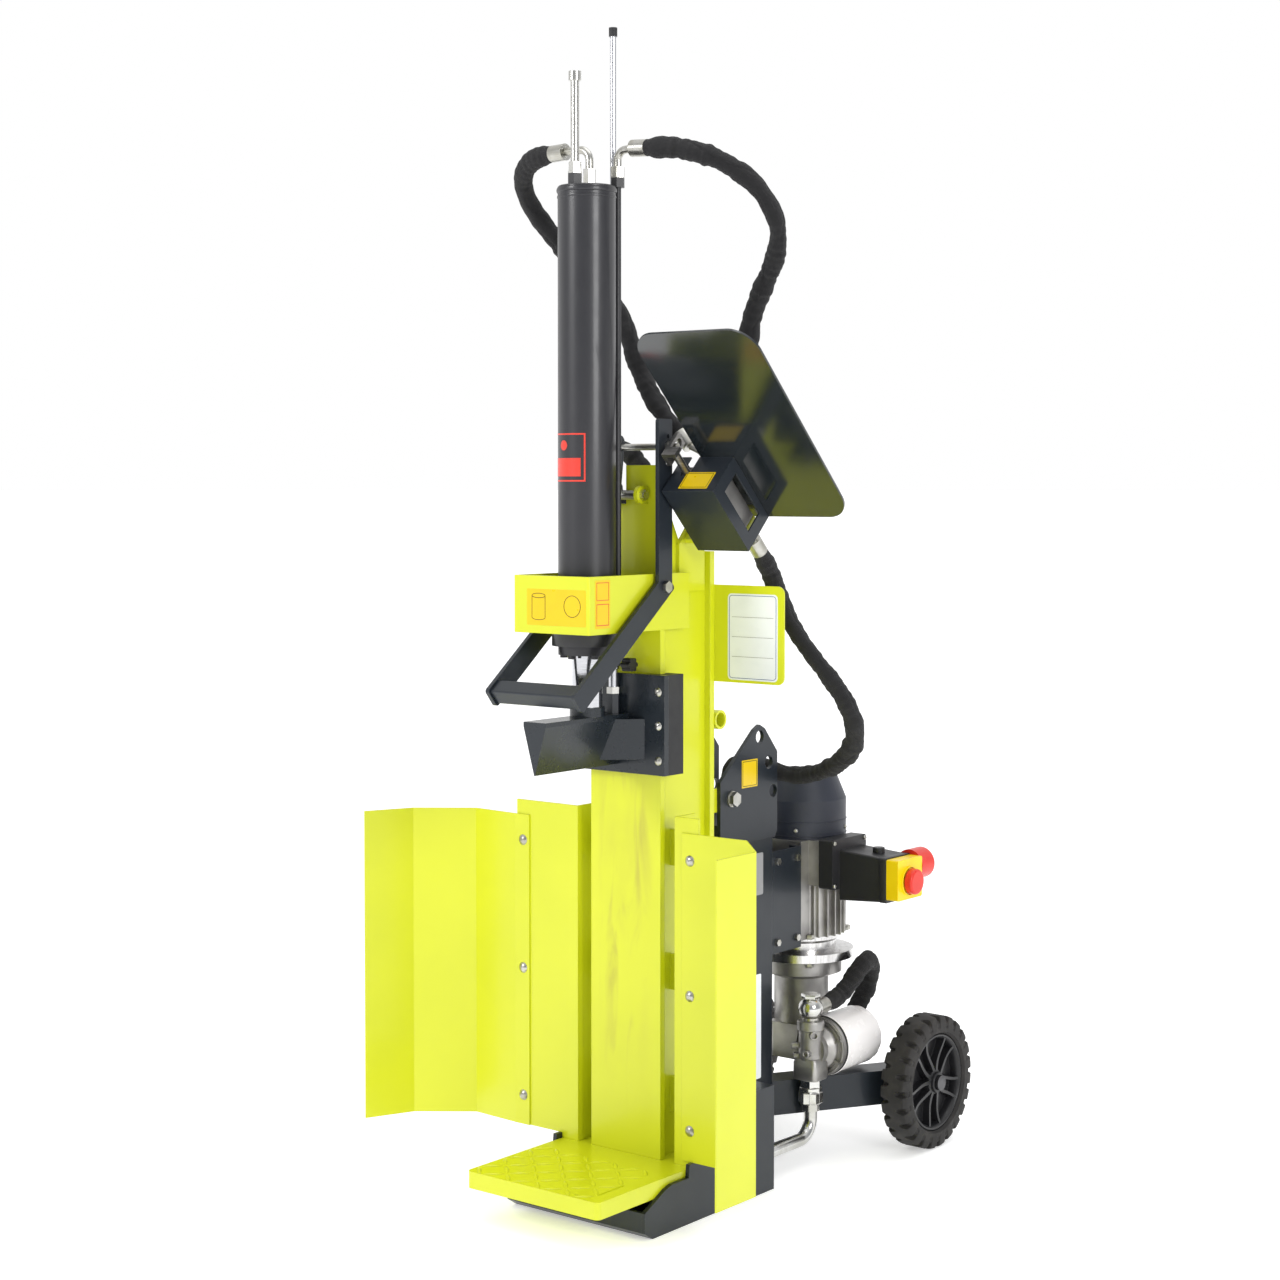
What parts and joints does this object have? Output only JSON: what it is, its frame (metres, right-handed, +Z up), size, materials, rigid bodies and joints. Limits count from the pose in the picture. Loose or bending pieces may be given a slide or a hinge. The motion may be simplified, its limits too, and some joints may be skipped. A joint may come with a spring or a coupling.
{
  "type": "log splitter",
  "caption": "Upright hydraulic log splitter on a column with a sliding wedge, two-hand lever, guards, rear oil tank, electric motor and transport wheels.",
  "frame": {"origin": "on the ground under the middle of the column's front face, in the skid plate's underside", "axes": "+Z up, -Y to the front where the log stands, +X to the machine's right side, where the valve is seen from the front"},
  "size_m": [0.8994, 1.0473, 2.109],
  "materials": {
    "lime_paint": "gloss powder coat",
    "anthracite_paint": "gloss powder coat",
    "black_paint": "satin",
    "zinc_steel": "bright zinc",
    "chrome_steel": "polished",
    "cast_aluminium": "cast, satin",
    "motor_steel": "plain",
    "pump_iron": "painted casting",
    "black_plastic": "moulded",
    "yellow_plastic": "moulded",
    "red_plastic": "moulded",
    "green_plastic": "moulded",
    "white_paint": "gloss",
    "tyre_rubber": "matt",
    "hose_sleeve": "woven textile"
  },
  "bodies": {
    "frame": {"axles": "zinc_steel", "base_plate": "lime_paint", "bell_housing": "cast_aluminium", "collar": "lime_paint", "column_beam": "lime_paint", "column_plates": "lime_paint", "cylinder_ends": "black_paint", "cylinder_pipes": "zinc_steel", "cylinder_tube": "black_paint", "ear_bolts": "zinc_steel", "filter_canister": "white_paint", "filter_head": "cast_aluminium", "foot_frame": "anthracite_paint", "guard_bolts": "zinc_steel", "guard_left": "lime_paint", "guard_right": "lime_paint", "guard_wings": "lime_paint", "hose_a": "hose_sleeve", "hose_b": "hose_sleeve", "hose_c": "hose_sleeve", "hose_d": "hose_sleeve", "hose_e": "hose_sleeve", "hose_fittings": "zinc_steel", "info_plate": "lime_paint", "lever_pivots": "zinc_steel", "lift_tube": "lime_paint", "lifting_ears": "anthracite_paint", "motor_body": "cast_aluminium", "motor_bracket": "anthracite_paint", "motor_cowl": "black_paint", "motor_flange": "cast_aluminium", "oil_tank": "anthracite_paint", "power_inlet": "red_plastic", "pump_body": "pump_iron", "rear_legs": "anthracite_paint", "shield": "anthracite_paint", "suction_pipe": "zinc_steel", "switch_cover": "yellow_plastic", "terminal_box": "black_plastic", "valve_body": "lime_paint", "valve_box": "anthracite_paint"},
    "carriage": {"wedge": "anthracite_paint", "slide_plate": "anthracite_paint", "guide_pads": "black_plastic", "slide_bolts": "zinc_steel", "piston_rod": "chrome_steel", "stroke_rod": "zinc_steel"},
    "stroke_clamp_knob": {"clamp_knob": "black_plastic"},
    "control_lever": {"lever_arms": "anthracite_paint", "handle_bar": "anthracite_paint", "cross_rod": "zinc_steel"},
    "stop_lever": {"stop_lever": "anthracite_paint"},
    "spool": {"valve_spool": "chrome_steel"},
    "wheel_left": {"tyre_left": "tyre_rubber", "rim_left": "black_plastic"},
    "wheel_right": {"tyre_right": "tyre_rubber", "rim_right": "black_plastic"},
    "rotor": {"motor_rotor": "motor_steel"},
    "stop_push": {"stop_button": "red_plastic"},
    "start_push": {"start_button": "green_plastic"}
  },
  "joints": [
    {"name": "carriage_slide", "type": "slide", "parent": "frame", "child": "carriage", "axis": [0, 0, -1], "range_m": [0, 0.62]},
    {"name": "clamp_knob_turn", "type": "hinge", "parent": "carriage", "child": "stroke_clamp_knob", "pos_m": [0.035, -0.034, 0.983], "axis": [1, 0, 0], "range_deg": [0, 720]},
    {"name": "control_lever_tilt", "type": "hinge", "parent": "frame", "child": "control_lever", "pos_m": [0, -0.012, 1.122], "axis": [1, 0, 0], "range_deg": [-3.5, 3.5], "stiffness_Nm_per_rad": 700},
    {"name": "stop_lever_tilt", "type": "hinge", "parent": "frame", "child": "stop_lever", "pos_m": [-0.012, -0.016, 1.284], "axis": [1, 0, 0], "range_deg": [-10.2, 10.2]},
    {"name": "spool_slide", "type": "slide", "parent": "frame", "child": "spool", "axis": [0, -0.7071, 0.7071], "range_m": [-0.0111, 0.0111]},
    {"name": "wheel_left_spin", "type": "hinge", "parent": "frame", "child": "wheel_left", "pos_m": [-0.233, 0.656, 0.13], "axis": [1, 0, 0], "continuous": true},
    {"name": "wheel_right_spin", "type": "hinge", "parent": "frame", "child": "wheel_right", "pos_m": [0.233, 0.656, 0.13], "axis": [1, 0, 0], "continuous": true},
    {"name": "rotor_spin", "type": "hinge", "parent": "frame", "child": "rotor", "pos_m": [0, 0.56, 0.5], "axis": [0, 0, 1], "continuous": true},
    {"name": "stop_button_push", "type": "slide", "parent": "frame", "child": "stop_push", "axis": [-1, 0, 0], "range_m": [0, 0.004], "stiffness_N_per_m": 900},
    {"name": "start_button_push", "type": "slide", "parent": "frame", "child": "start_push", "axis": [-1, 0, 0], "range_m": [0, 0.0025], "stiffness_N_per_m": 900}
  ],
  "couplings": [
    {"joint": "stop_lever_tilt", "follows": "control_lever_tilt", "ratio": 2.894},
    {"joint": "spool_slide", "follows": "control_lever_tilt", "m_per_rad": 0.18}
  ]
}
